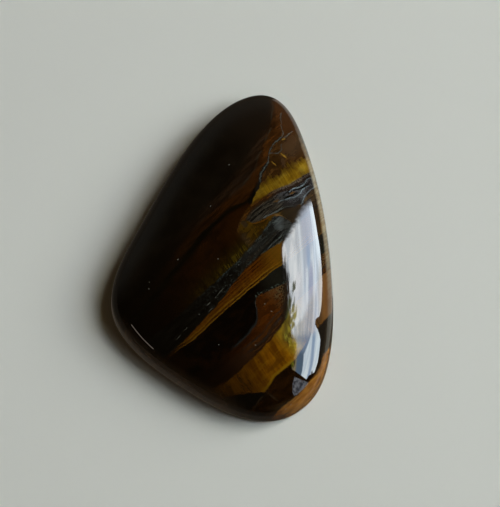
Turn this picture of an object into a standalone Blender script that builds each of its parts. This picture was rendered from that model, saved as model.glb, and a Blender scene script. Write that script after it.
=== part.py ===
"""A polished tiger's eye cabochon: one freeform, domed stone with a flat back.

The outline is a smooth closed curve round a leaning, three-cornered shape. The stone grows
from it the way a cutter shapes it: the outline is extruded ring by ring up a steep wall and
over a rounded shoulder to the crown, each ring scaled towards the crown's centre.

Frame: metres, +Z up, +Y towards the narrow tip, origin under the middle of the stone's box
on the plane of the flat back.
"""

import math

import bmesh
import bpy
from mathutils import Matrix

# Driving dimensions, in metres
LENGTH = 0.0423  # along Y
WIDTH = 0.0272  # along X
HEIGHT = 0.0066  # flat back to crown
BEVEL_HEIGHT = 0.0008  # small bevel that eases the edge of the back
WALL_TOP = 0.0021  # where the steep wall turns into the dome

# The shape of the rings
BACK_SCALE = 0.965  # the flat back, as a share of the outline
BEVEL_RING_SCALE = 0.9885  # the ring inside the bevel, which makes the bevel round
BEVEL_RING_HEIGHT = 0.00032
WALL_LEAN = 0.006  # how far the wall leans in, as a share of the outline
DOME_FULLNESS = 2.15  # 2 is an ellipse, more is flatter on top with a tighter shoulder
CROWN = (0.0003, -0.0021)  # the highest point lies over the broad end
WALL_RINGS = 4
DOME_RINGS = 20
CURVE_STEPS = 6  # points on the outline for each of its control points

# Control polygon of the outline, anticlockwise from the narrow tip, in millimetres. The curve
# runs just inside it and is then scaled to WIDTH and LENGTH.
OUTLINE = [
    (5.5, 22.4), (0.5, 20.3), (-3.9, 15.1), (-7.3, 8.9), (-10.5, 2.4), (-13.4, -3.4),
    (-13.9, -8.9), (-9.9, -14.0), (-4.9, -17.6), (0.7, -21.3), (7.0, -22.9), (12.3, -19.4),
    (14.0, -12.7), (14.2, -5.6), (13.7, 1.6), (12.6, 8.6), (10.8, 15.3), (8.8, 20.2),
]

# Finish
STONE_COLOUR = (0.055, 0.026, 0.008, 1.0)
STONE_ROUGHNESS = 0.12
SHARP_ANGLE = math.radians(35)  # only the edge of the flat back is sharper than this


def clear_scene():
    for obj in list(bpy.data.objects):
        bpy.data.objects.remove(obj, do_unlink=True)


def stone_material():
    material = bpy.data.materials.new("tigers_eye")
    material.use_nodes = True
    shader = material.node_tree.nodes["Principled BSDF"]
    shader.inputs["Base Color"].default_value = STONE_COLOUR
    shader.inputs["Roughness"].default_value = STONE_ROUGHNESS
    shader.inputs["Metallic"].default_value = 0.0
    return material


def outline_points():
    """The outline as an even ring of points, centred on its own box, WIDTH by LENGTH."""
    curve = bpy.data.curves.new("outline", "CURVE")
    curve.dimensions = "2D"
    curve.fill_mode = "NONE"
    spline = curve.splines.new("NURBS")
    spline.points.add(len(OUTLINE) - 1)
    for point, (x, y) in zip(spline.points, OUTLINE):
        point.co = (x, y, 0.0, 1.0)
    spline.order_u = 4
    spline.use_cyclic_u = True
    spline.resolution_u = CURVE_STEPS
    guide = bpy.data.objects.new("outline", curve)
    ring = bpy.data.meshes.new_from_object(guide)
    points = [(vertex.co.x, vertex.co.y) for vertex in ring.vertices]
    bpy.data.objects.remove(guide)
    bpy.data.meshes.remove(ring)
    xs, ys = zip(*points)
    middle_x, middle_y = (min(xs) + max(xs)) / 2, (min(ys) + max(ys)) / 2
    scale_x, scale_y = WIDTH / (max(xs) - min(xs)), LENGTH / (max(ys) - min(ys))
    return [((x - middle_x) * scale_x, (y - middle_y) * scale_y) for x, y in points]


def ring_profile():
    """(scale, height) of each ring above the back: bevel, wall, shoulder and dome."""
    profile = [(BEVEL_RING_SCALE, BEVEL_RING_HEIGHT), (1.0, BEVEL_HEIGHT)]
    for step in range(1, WALL_RINGS + 1):
        share = step / WALL_RINGS
        profile.append((1 - WALL_LEAN * share**2, BEVEL_HEIGHT + share * (WALL_TOP - BEVEL_HEIGHT)))
    for step in range(1, DOME_RINGS):
        turn = math.pi / 2 * step / DOME_RINGS
        across = math.cos(turn) ** (2 / DOME_FULLNESS)
        up = math.sin(turn) ** (2 / DOME_FULLNESS)
        profile.append(((1 - WALL_LEAN) * across, WALL_TOP + up * (HEIGHT - WALL_TOP)))
    return profile


def raise_ring(bm, edges, growth, lift):
    """Extrudes a closed ring of edges, then scales the new ring about the crown and lifts it."""
    made = bmesh.ops.extrude_edge_only(bm, edges=edges)["geom"]
    ring = [item for item in made if isinstance(item, bmesh.types.BMVert)]
    about_crown = Matrix.Translation((-CROWN[0], -CROWN[1], 0.0))
    bmesh.ops.scale(bm, vec=(growth, growth, 1.0), space=about_crown, verts=ring)
    bmesh.ops.translate(bm, vec=(0.0, 0.0, lift), verts=ring)
    return [item for item in made if isinstance(item, bmesh.types.BMEdge)]


def stone_mesh():
    bm = bmesh.new()
    back = []
    for x, y in outline_points():
        inner_x = CROWN[0] + (x - CROWN[0]) * BACK_SCALE
        inner_y = CROWN[1] + (y - CROWN[1]) * BACK_SCALE
        back.append(bm.verts.new((inner_x, inner_y, 0.0)))
    bm.faces.new(back)
    edges = list(bm.edges)
    scale_now, height_now = BACK_SCALE, 0.0
    for scale, height in ring_profile():
        edges = raise_ring(bm, edges, scale / scale_now, height - height_now)
        scale_now, height_now = scale, height
    crown = bmesh.ops.contextual_create(bm, geom=edges)["faces"]
    top = bmesh.ops.poke(bm, faces=crown)["verts"][0]
    top.co = (CROWN[0], CROWN[1], HEIGHT)
    bmesh.ops.recalc_face_normals(bm, faces=bm.faces)
    mesh = bpy.data.meshes.new("tigers_eye_stone")
    bm.to_mesh(mesh)
    bm.free()
    mesh.shade_smooth()
    mesh.set_sharp_from_angle(angle=SHARP_ANGLE)
    return mesh


def main():
    clear_scene()
    collection = bpy.data.collections.new("tigers_eye_cabochon")
    bpy.context.scene.collection.children.link(collection)
    stone = bpy.data.objects.new("tigers_eye_stone", stone_mesh())
    stone.data.materials.append(stone_material())
    collection.objects.link(stone)


main()
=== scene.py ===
"""Looks of the polished tiger's eye cabochon: the finely modelled stone with its layered,
chatoyant material, a pale floor, window light from the right and the camera.

Lengths are metres, except in the layers of the stone, which are laid out in millimetres in a
slanting frame of their own: u runs along the layers and v across them, with v growing towards
the upper left of the stone.
"""

import math
from functools import reduce
from types import SimpleNamespace

import bmesh
import bpy
from mathutils import Matrix, Vector, noise


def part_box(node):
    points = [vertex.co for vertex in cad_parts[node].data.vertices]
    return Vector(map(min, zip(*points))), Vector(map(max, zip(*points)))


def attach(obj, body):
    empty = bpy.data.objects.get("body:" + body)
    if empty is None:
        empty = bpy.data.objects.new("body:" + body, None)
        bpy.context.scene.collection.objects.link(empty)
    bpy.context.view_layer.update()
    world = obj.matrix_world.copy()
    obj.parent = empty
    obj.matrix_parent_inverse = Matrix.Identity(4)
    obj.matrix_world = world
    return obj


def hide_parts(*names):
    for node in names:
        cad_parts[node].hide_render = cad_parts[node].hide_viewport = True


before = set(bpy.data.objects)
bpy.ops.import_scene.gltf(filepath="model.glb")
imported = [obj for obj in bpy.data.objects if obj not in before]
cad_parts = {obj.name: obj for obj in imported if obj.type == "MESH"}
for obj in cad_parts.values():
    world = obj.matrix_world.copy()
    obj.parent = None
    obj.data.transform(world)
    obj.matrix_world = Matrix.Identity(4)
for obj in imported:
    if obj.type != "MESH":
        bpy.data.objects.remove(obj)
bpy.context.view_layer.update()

# ---------------------------------------------------------------------------------------
# Shape of the stone, as in part.py but with finer rings
# ---------------------------------------------------------------------------------------
NODE = "tigers_eye_stone"
STONE_LOW, STONE_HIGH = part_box(NODE)
WIDTH = STONE_HIGH.x - STONE_LOW.x
LENGTH = STONE_HIGH.y - STONE_LOW.y
HEIGHT = STONE_HIGH.z
BEVEL_HEIGHT = 0.0008
WALL_TOP = 0.0021
BACK_SCALE = 0.965
WALL_LEAN = 0.006
DOME_FULLNESS = 2.15
CROWN = (0.0003, -0.0021)
BEVEL_RINGS = 5
WALL_RINGS = 8
DOME_RINGS = 80
CURVE_STEPS = 16
OUTLINE = [
    (5.5, 22.4), (0.5, 20.3), (-3.9, 15.1), (-7.3, 8.9), (-10.5, 2.4), (-13.4, -3.4),
    (-13.9, -8.9), (-9.9, -14.0), (-4.9, -17.6), (0.7, -21.3), (7.0, -22.9), (12.3, -19.4),
    (14.0, -12.7), (14.2, -5.6), (13.7, 1.6), (12.6, 8.6), (10.8, 15.3), (8.8, 20.2),
]
SHARP_ANGLE = math.radians(60)
# Slow waves left by hand grinding, mostly inwards
WAVE_DEPTH = 0.00006
WAVE_SIZE = 0.0075
WAVE_SHIFT = 0.35


def outline_points():
    """The outline as an even ring of points, centred on its own box, WIDTH by LENGTH."""
    curve = bpy.data.curves.new("outline", "CURVE")
    curve.dimensions = "2D"
    curve.fill_mode = "NONE"
    spline = curve.splines.new("NURBS")
    spline.points.add(len(OUTLINE) - 1)
    for point, (x, y) in zip(spline.points, OUTLINE):
        point.co = (x, y, 0.0, 1.0)
    spline.order_u = 4
    spline.use_cyclic_u = True
    spline.resolution_u = CURVE_STEPS
    guide = bpy.data.objects.new("outline", curve)
    ring = bpy.data.meshes.new_from_object(guide)
    points = [(vertex.co.x, vertex.co.y) for vertex in ring.vertices]
    bpy.data.objects.remove(guide)
    bpy.data.curves.remove(curve)
    bpy.data.meshes.remove(ring)
    xs, ys = zip(*points)
    middle_x, middle_y = (min(xs) + max(xs)) / 2, (min(ys) + max(ys)) / 2
    scale_x, scale_y = WIDTH / (max(xs) - min(xs)), LENGTH / (max(ys) - min(ys))
    return [((x - middle_x) * scale_x, (y - middle_y) * scale_y) for x, y in points]


def ring_profile():
    """(scale, height) of each ring above the back: bevel, wall, shoulder and dome."""
    profile = []
    for step in range(1, BEVEL_RINGS + 1):
        turn = math.pi / 2 * step / BEVEL_RINGS
        across = BACK_SCALE + (1 - BACK_SCALE) * math.sin(turn)
        profile.append((across, BEVEL_HEIGHT * (1 - math.cos(turn))))
    for step in range(1, WALL_RINGS + 1):
        share = step / WALL_RINGS
        height = BEVEL_HEIGHT + share * (WALL_TOP - BEVEL_HEIGHT)
        profile.append((1 - WALL_LEAN * share**2, height))
    for step in range(1, DOME_RINGS):
        turn = math.pi / 2 * step / DOME_RINGS
        across = math.cos(turn) ** (2 / DOME_FULLNESS)
        up = math.sin(turn) ** (2 / DOME_FULLNESS)
        profile.append(((1 - WALL_LEAN) * across, WALL_TOP + up * (HEIGHT - WALL_TOP)))
    return profile


def raise_ring(bm, edges, growth, lift):
    """Extrudes a closed ring of edges, then scales the new ring about the crown and lifts it."""
    made = bmesh.ops.extrude_edge_only(bm, edges=edges)["geom"]
    ring = [item for item in made if isinstance(item, bmesh.types.BMVert)]
    about_crown = Matrix.Translation((-CROWN[0], -CROWN[1], 0.0))
    bmesh.ops.scale(bm, vec=(growth, growth, 1.0), space=about_crown, verts=ring)
    bmesh.ops.translate(bm, vec=(0.0, 0.0, lift), verts=ring)
    return [item for item in made if isinstance(item, bmesh.types.BMEdge)]


def grind(bm):
    """Gives the wall and dome the slow waves of hand grinding, none at the bevel."""
    bm.normal_update()
    for vert in bm.verts:
        share = min(1.0, max(0.0, (vert.co.z - BEVEL_HEIGHT) / (WALL_TOP - BEVEL_HEIGHT)))
        wave = noise.noise(vert.co / WAVE_SIZE) - WAVE_SHIFT
        vert.co += vert.normal * (wave * WAVE_DEPTH * share)


def stone_object():
    """The back's outline, raised ring by ring to the crown."""
    bm = bmesh.new()
    back = []
    for x, y in outline_points():
        inner_x = CROWN[0] + (x - CROWN[0]) * BACK_SCALE
        inner_y = CROWN[1] + (y - CROWN[1]) * BACK_SCALE
        back.append(bm.verts.new((inner_x, inner_y, 0.0)))
    back_face = bm.faces.new(back)
    edges = list(bm.edges)
    scale_now, height_now = BACK_SCALE, 0.0
    for scale, height in ring_profile():
        edges = raise_ring(bm, edges, scale / scale_now, height - height_now)
        scale_now, height_now = scale, height
    crown = bmesh.ops.contextual_create(bm, geom=edges)["faces"]
    top = bmesh.ops.poke(bm, faces=crown)["verts"][0]
    top.co = (CROWN[0], CROWN[1], HEIGHT)
    bmesh.ops.recalc_face_normals(bm, faces=bm.faces)
    grind(bm)
    back_face.material_index = 1
    mesh = bpy.data.meshes.new("polished_stone")
    bm.to_mesh(mesh)
    bm.free()
    mesh.shade_smooth()
    mesh.set_sharp_from_angle(angle=SHARP_ANGLE)
    stone = bpy.data.objects.new("polished_stone", mesh)
    bpy.context.scene.collection.objects.link(stone)
    return stone


# ---------------------------------------------------------------------------------------
# Layers of the stone, in millimetres
# ---------------------------------------------------------------------------------------
LAYER_ANGLE = math.radians(43)  # of u, from +X towards +Y
LAYER_DIP = 0.364  # how far a layer shifts along Y for each step up
REACH = 24.0  # the lines cover u and v from -REACH to REACH
LAYERS_FROM = (-0.1, 0.14)  # where the layers' own origin lies, from the stone's

# The upper edge of each layer, a line of (u, v) points, from the upper left of the stone to the
# lower right. A layer reaches down to the next line.
SMOKE_TOP = [
    (-20, 3.4), (-10.8, 4.2), (-5.9, 5.3), (-0.9, 5.8), (2.3, 5.9), (8.2, 6.5), (10.9, 7.2),
    (13.7, 8.4), (17.1, 9.8), (19, 11.5),
]
RED_TOP = [
    (-20, 1.9), (-8.5, 3.2), (-4.7, 3.9), (0, 4.8), (4.7, 5.0), (8.0, 4.9), (10.8, 5.7),
    (12.2, 6.4), (14.2, 7.5), (16.4, 8.7), (17.5, 9.6), (18.9, 11.2),
]
SHADE_TOP = [
    (-20, 0.9), (-12.3, 1.7), (-8.5, 2.2), (-5.0, 2.9), (-1.9, 3.4), (1.4, 4.0), (5.0, 3.9),
    (7.4, 3.4), (8.6, 3.6), (10.0, 4.2), (20, 4.4),
]
EARTH_TOP = [
    (-20, 0.0), (-12.5, 0.8), (-8.7, 1.4), (-5.5, 2.1), (-2.3, 2.6), (1.2, 3.2), (4.0, 3.4),
    (6.3, 3.0), (8.2, 2.8), (20, 2.9),
]
HONEY_TOP = [
    (3.0, 0.8), (5.4, 2.1), (6.4, 2.3), (7.6, 2.6), (8.6, 3.2), (9.8, 3.8), (10.9, 4.6),
    (12.3, 5.0), (13.1, 5.6), (14.2, 6.4), (15.8, 6.5), (17.0, 7.4), (18.2, 8.8), (20, 10.5),
]
SEAM_TOP = [
    (3.0, 0.6), (5.1, 1.8), (6.1, 2.25), (7.9, 2.5), (9.4, 2.2), (10.9, 1.9), (12.5, 1.3),
    (13.4, 1.15), (15.4, 0.8), (20, 0.0),
]
SEAM_FOOT = [
    (3.0, 0.5), (5.1, 1.6), (6.0, 0.5), (7.4, 0.1), (8.8, -0.35), (9.5, -0.5), (10.6, -1.2),
    (12.0, -1.75), (12.8, -1.4), (14.6, -1.2), (20, -1.8),
]
IRON_TOP = [
    (-20, -2.2), (-14.3, -1.8), (-8.5, -2.0), (-4.5, -1.9), (-1.6, -1.8), (1.1, -1.75),
    (2.9, -1.55), (4.9, -1.2), (7.0, -0.85), (8.4, -0.5), (8.9, -0.75), (9.2, -1.6), (9.4, -2.7),
    (12, -3.0), (20, -3.2),
]
RIBBON_TOP = [
    (-20, -5.2), (-14.2, -4.9), (-10.5, -4.8), (-7.6, -4.5), (-5.5, -4.3), (-2.5, -3.8),
    (-1.2, -3.5), (1.3, -3.1), (3.1, -3.05), (5.0, -3.25), (7.2, -3.6), (9.2, -3.3), (20, -3.4),
]
NIGHT_TOP = [
    (-20, -5.2), (-12.5, -5.2), (-9.1, -5.5), (-4.3, -5.35), (-0.1, -5.4), (1.1, -5.5),
    (2.3, -5.5), (5.2, -5.8), (12, -6.2), (20, -6.6),
]
RUST_TOP = [
    (-20, -8.6), (-11.8, -9.1), (-7.2, -9.55), (-3.2, -9.25), (-2.2, -8.9), (-1.5, -8.0),
    (-0.9, -7.1), (0.0, -6.7), (1.2, -7.1), (3.9, -7.8), (12, -8.2),
]
BARK_TOP = [
    (-20, -9.8), (-11.0, -10.3), (-6.0, -10.35), (-3.2, -10.4), (-1.5, -10.0), (1.0, -9.7),
    (2.6, -9.6), (12, -9.3),
]
SILK_TOP = [
    (-20, -10.8), (-12.5, -11.5), (-9.3, -12.1), (-7.0, -12.0), (-3.7, -11.8), (-0.2, -11.3),
    (1.6, -10.6), (7, -10.2), (12, -10.0),
]
UMBER_TOP = [
    (-20, -12.4), (-12.1, -13.3), (-10.0, -14.4), (-8.6, -15.4), (-7.6, -16.05), (-6.7, -15.85),
    (-5.6, -15.5), (-4.4, -15.55), (-3.3, -15.6), (0, -15.0), (3.3, -14.5), (12, -14.0),
]
AMBER_TOP = [
    (-20, -19.6), (-10, -19.3), (-7.8, -18.9), (-5.9, -19.1), (-4.3, -19.0), (-2.6, -18.8),
    (-1.0, -18.5), (0.5, -17.6), (12, -17.0),
]

# Thin veins, those of one colour together: (line, half width, first u, last u, how broken). A vein
# that is broken by 0 is whole and one by 1 is in bits.
RAIN_VEIN = [
    (7.5, 2.8), (8.2, 3.1), (9.0, 3.4), (9.7, 3.75), (10.4, 4.15), (11.0, 4.65), (11.8, 4.9),
    (12.6, 5.15), (13.1, 5.6), (13.9, 6.15), (14.6, 6.4), (15.2, 6.5), (15.9, 6.5), (16.4, 6.55),
    (17.2, 7.55), (17.8, 8.35), (18.5, 9.05),
]
BLACK_VEINS = [
    (RAIN_VEIN, 0.22, 7.2, 10.3, 0.3),
    ([(5.7, 1.3), (7.3, 1.45), (8.5, 1.35), (9.8, 1.1)], 0.07, 5.7, 9.8, 0.4),
    ([(5.7, 1.0), (6.9, 0.95), (8.0, 0.9), (9.2, 0.6)], 0.1, 5.8, 9.0, 0.5),
    ([(12.4, 0.35), (13.1, -0.02), (14.0, -0.2), (14.8, -0.1)], 0.1, 12.4, 14.7, 0.2),
    ([(10.9, 0.25), (11.6, 0.05), (12.4, -0.2)], 0.13, 10.9, 12.5, 0.3),
    ([(7.2, 0.0), (8.3, -0.3), (9.5, -0.55), (10.2, -0.85), (10.8, -1.25)], 0.08, 7.2, 10.8, 0.4),
    ([(3.2, -3.0), (4.2, -2.85), (5.4, -2.75), (6.6, -2.65), (7.8, -2.6)], 0.1, 3.2, 8.0, 0.4),
]
WISPS = [
    ([(16.9, 9.1), (17.5, 9.6), (18.4, 10.4), (18.9, 11.2)], 0.05, 16.9, 19.0, 0.4),
    ([(14.6, 7.6), (15.2, 7.9), (16.2, 8.3)], 0.06, 14.4, 16.2, 0.8),
    (
        [(8.2, 5.0), (9.1, 5.25), (10.3, 5.5), (11.3, 5.8), (12.0, 6.45), (12.8, 6.75)],
        0.06, 8.0, 13.0, 0.9,
    ),
    (
        [(5.8, 1.5), (6.5, 1.7), (7.4, 1.8), (8.3, 1.6), (9.4, 1.5), (10.2, 1.1)],
        0.055, 5.6, 10.4, 0.6,
    ),
    ([(6.1, 1.1), (6.9, 1.25), (7.8, 1.25), (8.8, 1.1), (9.6, 0.75)], 0.045, 6.0, 9.7, 0.6),
    ([(6.4, 0.75), (7.6, 0.65), (8.8, 0.45), (9.9, 0.2)], 0.035, 6.4, 9.9, 0.7),
    ([(3.2, -2.8), (4.3, -2.5), (5.6, -2.4), (6.8, -2.3), (7.8, -2.3)], 0.045, 3.3, 7.9, 0.5),
]
DARK_VEINS = [(RAIN_VEIN, 0.26, 9.0, 12.6, 0.3), (RAIN_VEIN, 0.15, 12.6, 16.2, 0.6)]
GREY_VEINS = [
    (RAIN_VEIN, 0.13, 10.2, 12.9, 0.6),
    (RAIN_VEIN, 0.07, 13.2, 16.0, 1.0),
    ([(13.7, 5.85), (14.2, 5.4), (14.7, 5.2), (15.2, 5.4), (15.45, 5.9)], 0.05, 13.7, 15.5, 0.3),
    ([(7.8, -1.6), (8.2, -1.9), (9.2, -2.7)], 0.07, 7.8, 9.2, 0.7),
]
LIGHT_VEINS = [
    (RAIN_VEIN, 0.02, 11.8, 16.5, 1.0),
    (RAIN_VEIN, 0.03, 16.3, 18.5, 0.6),
    ([(16.4, 6.2), (17.0, 6.2), (17.8, 6.1)], 0.03, 16.3, 17.7, 1.0),
    (
        [
            (7.2, 0.15), (7.8, 0.05), (8.3, -0.15), (8.9, -0.25), (9.5, -0.35), (10.2, -0.65),
            (10.8, -1.05),
        ],
        0.05, 7.2, 10.9, 0.5,
    ),
    ([(7.6, -1.0), (7.9, -1.15), (8.8, -1.8)], 0.05, 7.6, 8.9, 0.7),
    (
        [
            (4.9, -3.1), (5.3, -3.0), (5.8, -2.85), (6.3, -3.0), (7.1, -3.0), (7.9, -2.85),
            (8.6, -2.9), (9.3, -2.9),
        ],
        0.03, 4.8, 9.3, 1.0,
    ),
    ([(6.3, -3.6), (6.8, -3.35), (7.8, -3.2), (8.7, -3.2)], 0.03, 6.3, 8.8, 1.0),
]
PALE_VEINS = [
    (
        [(11.9, 0.6), (12.6, 0.5), (13.2, 0.2), (13.9, 0.05), (14.7, 0.3), (15.2, 0.05)],
        0.04, 11.9, 15.1, 0.9,
    ),
    (
        [
            (9.9, 0.5), (10.5, 0.3), (10.9, 0.05), (11.3, -0.1), (11.9, -0.4), (12.5, -0.5),
            (13.3, -0.3), (14.4, -0.5),
        ],
        0.045, 10.0, 14.2, 0.9,
    ),
    (
        [(11.9, -1.7), (12.5, -1.4), (13.2, -1.1), (13.9, -1.1), (14.6, -1.1)],
        0.035, 11.8, 14.8, 0.8,
    ),
]
ORANGE_VEINS = [
    ([(5.4, 0.9), (6.2, 0.25), (7.0, -0.05), (7.9, -0.2), (8.7, -0.5)], 0.075, 5.5, 8.6, 0.3),
]
BUFF_VEINS = [
    ([(8.5, -0.45), (8.9, -0.85), (9.05, -1.3), (9.2, -1.7), (9.3, -2.6)], 0.22, 8.55, 9.3, 0.1),
]
VEINS = [
    (BLACK_VEINS, (0.0012, 0.001, 0.0006)),
    (WISPS, (0.021, 0.0145, 0.008)),
    (DARK_VEINS, (0.0065, 0.0048, 0.003)),
    (GREY_VEINS, (0.038, 0.038, 0.03)),
    (LIGHT_VEINS, (0.066, 0.07, 0.058)),
    (PALE_VEINS, (0.15, 0.175, 0.175)),
    (ORANGE_VEINS, (0.08, 0.026, 0.0015)),
    (BUFF_VEINS, (0.11, 0.055, 0.016)),
]

# Small patches, those of one colour together: (u, v, half length, half width, turn in degrees,
# share of the colour)
PATCHES = [
    (
        [(13.4, 4.6, 1.0, 0.75, 25, 0.75), (11.7, 4.2, 0.6, 0.25, 15, 0.7)],
        (0.016, 0.0062, 0.0012),
    ),
    ([(14.0, 3.9, 0.7, 0.35, 60, 0.4), (16.4, 4.7, 1.7, 1.3, 20, 0.5)], (0.05, 0.026, 0.012)),
    (
        [
            (14.7, 4.5, 0.1, 0.5, 3, 0.9), (13.1, 4.55, 0.08, 0.42, 3, 0.7),
            (16.2, 6.1, 0.3, 0.08, -20, 0.8),
        ],
        (0.22, 0.11, 0.012),
    ),
    (
        [
            (12.0, 0.2, 0.45, 0.13, -20, 0.9), (9.9, 0.75, 0.4, 0.14, -25, 0.8),
            (11.5, -1.6, 0.45, 0.22, -20, 0.8),
        ],
        (0.072, 0.03, 0.004),
    ),
    (
        [
            (4.95, 1.2, 0.35, 0.55, 0, 0.8), (-9.4, -16.5, 1.3, 0.1, 12, 0.6),
            (-7.5, -17.1, 0.12, 0.85, 8, 0.8),
        ],
        (0.02, 0.011, 0.005),
    ),
    ([(-4.4, -14.4, 1.5, 0.35, 3, 0.7)], (0.05, 0.016, 0.0006)),
    (
        [
            (-3.0, -3.2, 0.7, 0.05, 2, 0.9), (-3.9, -3.35, 0.15, 0.06, 0, 1.0),
            (-5.1, -3.4, 0.35, 0.07, 6, 1.0), (-5.5, -4.1, 0.4, 0.06, 8, 1.0),
            (-6.9, -3.6, 0.12, 0.06, 0, 1.0), (-9.4, -3.85, 0.4, 0.05, 4, 0.9),
            (-10.7, -4.0, 0.45, 0.05, 0, 0.9),
        ],
        (0.058, 0.052, 0.038),
    ),
]
# White specks of dust and tiny pits: (u, v)
SPECKS = [
    (-4.0, 3.3), (-8.5, 3.5), (-9.1, 2.9), (-0.4, 0.1), (8.9, 8.2), (3.5, 5.7), (-0.2, -8.0),
    (-0.3, -9.2), (-7.5, -19.4), (-6.7, -19.4), (-7.7, -8.0), (0.9, -2.2), (-4.6, -11.0),
]
SPECK_SIZE = 0.075
MILLIMETRES = 1000.0  # in a metre


def opaque(colour):
    return (*colour, 1.0) if isinstance(colour, tuple) and len(colour) == 3 else colour


def fill(node, inputs):
    """Links or sets a node's inputs. One whose value is None stays as it is."""
    for key, value in inputs.items():
        if isinstance(value, bpy.types.NodeSocket):
            node.id_data.links.new(value, node.inputs[key])
        elif value is not None:
            node.inputs[key].default_value = value


class Nodes:
    """Adds shader nodes to one tree. Arguments are sockets, numbers or tuples."""

    def __init__(self, tree):
        self.tree = tree
        self.lines = {}

    def node(self, kind, inputs, **settings):
        made = self.tree.nodes.new(kind)
        for name, value in settings.items():
            setattr(made, name, value)
        fill(made, inputs)
        return made

    def math(self, operation, a, b, c=None):
        return self.node("ShaderNodeMath", {0: a, 1: b, 2: c}, operation=operation).outputs[0]

    def add(self, a, b):
        return self.math("ADD", a, b)

    def sub(self, a, b):
        return self.math("SUBTRACT", a, b)

    def mul(self, *factors):
        return reduce(lambda a, b: self.math("MULTIPLY", a, b), factors)

    def most(self, values):
        return reduce(lambda a, b: self.math("MAXIMUM", a, b), values)

    def away(self, a, b):
        """How far a is from b, either way."""
        return self.math("ABSOLUTE", self.sub(a, b), None)

    def step(self, value, start, end):
        """0 at start and 1 at end, smooth between and flat beyond. start may be the larger."""
        (low, at_low), (high, at_high) = sorted([(start, 0.0), (end, 1.0)])
        inputs = {0: value, 1: low, 2: high, 3: at_low, 4: at_high}
        smooth = {"interpolation_type": "SMOOTHSTEP", "clamp": False}
        return self.node("ShaderNodeMapRange", inputs, **smooth).outputs[0]

    def between(self, value, low, high, soft):
        """1 from low to high, fading to 0 over soft on either side."""
        return self.mul(self.step(value, low - soft, low), self.step(value, high + soft, high))

    def blob(self, x, y, centre, reach, turn=0.0):
        """1 round centre, fading out at reach, which is (half length, half width)."""
        cos, sin = math.cos(math.radians(turn)), math.sin(math.radians(turn))
        dx, dy = self.sub(x, centre[0]), self.sub(y, centre[1])
        along = self.add(self.mul(dx, cos / reach[0]), self.mul(dy, sin / reach[0]))
        across = self.sub(self.mul(dy, cos / reach[1]), self.mul(dx, sin / reach[1]))
        away = self.add(self.mul(along, along), self.mul(across, across))
        return self.step(away, 1.5, 0.1)

    def line(self, u, points):
        """v of a smooth line through points, for each u."""
        key = str(points)
        if key not in self.lines:
            share = self.math("MULTIPLY_ADD", u, 1 / (2 * REACH), 0.5)
            made = self.node("ShaderNodeFloatCurve", {"Value": share})
            curve = made.mapping.curves[0]
            places = [((x + REACH) / (2 * REACH), (y + REACH) / (2 * REACH)) for x, y in points]
            while len(curve.points) < len(places):
                curve.points.new(0.5, 0.5)
            for point, place in zip(curve.points, places):
                point.location = place
                point.handle_type = "AUTO_CLAMPED"
            made.mapping.use_clip = False
            made.mapping.extend = "HORIZONTAL"
            made.mapping.update()
            self.lines[key] = self.math("MULTIPLY_ADD", made.outputs[0], 2 * REACH, -REACH)
        return self.lines[key]

    def split(self, vector):
        return self.node("ShaderNodeSeparateXYZ", {0: vector}).outputs

    def vector(self, x, y, z):
        return self.node("ShaderNodeCombineXYZ", {0: x, 1: y, 2: z}).outputs[0]

    def noise(self, where, scale, detail, roughness, wobble=0.0):
        inputs = {"Vector": where, "Scale": scale, "Detail": detail, "Roughness": roughness}
        return self.node("ShaderNodeTexNoise", {**inputs, "Distortion": wobble}).outputs["Fac"]

    def bump(self, height, strength, distance):
        inputs = {"Strength": strength, "Distance": distance, "Height": height}
        return self.node("ShaderNodeBump", inputs).outputs[0]

    def mix(self, share, a, b):
        """Colour a where share is 0, b where it is 1."""
        inputs = {0: share, 6: opaque(a), 7: opaque(b)}
        return self.node("ShaderNodeMix", inputs, data_type="RGBA").outputs[2]

    def fade(self, value, start, end, a, b):
        """Colour a where value is at start, b where it is at end, smooth between."""
        return self.mix(self.step(value, start, end), a, b)

    def tint(self, colour, cover, *shares):
        """Colour covered with another one, as far as the product of shares says."""
        return self.mix(self.mul(*shares), colour, cover)

    def blend(self, share, a, b):
        """Number a where share is 0, b where it is 1."""
        return self.node("ShaderNodeMix", {0: share, 2: a, 3: b}, data_type="FLOAT").outputs[0]


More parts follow.
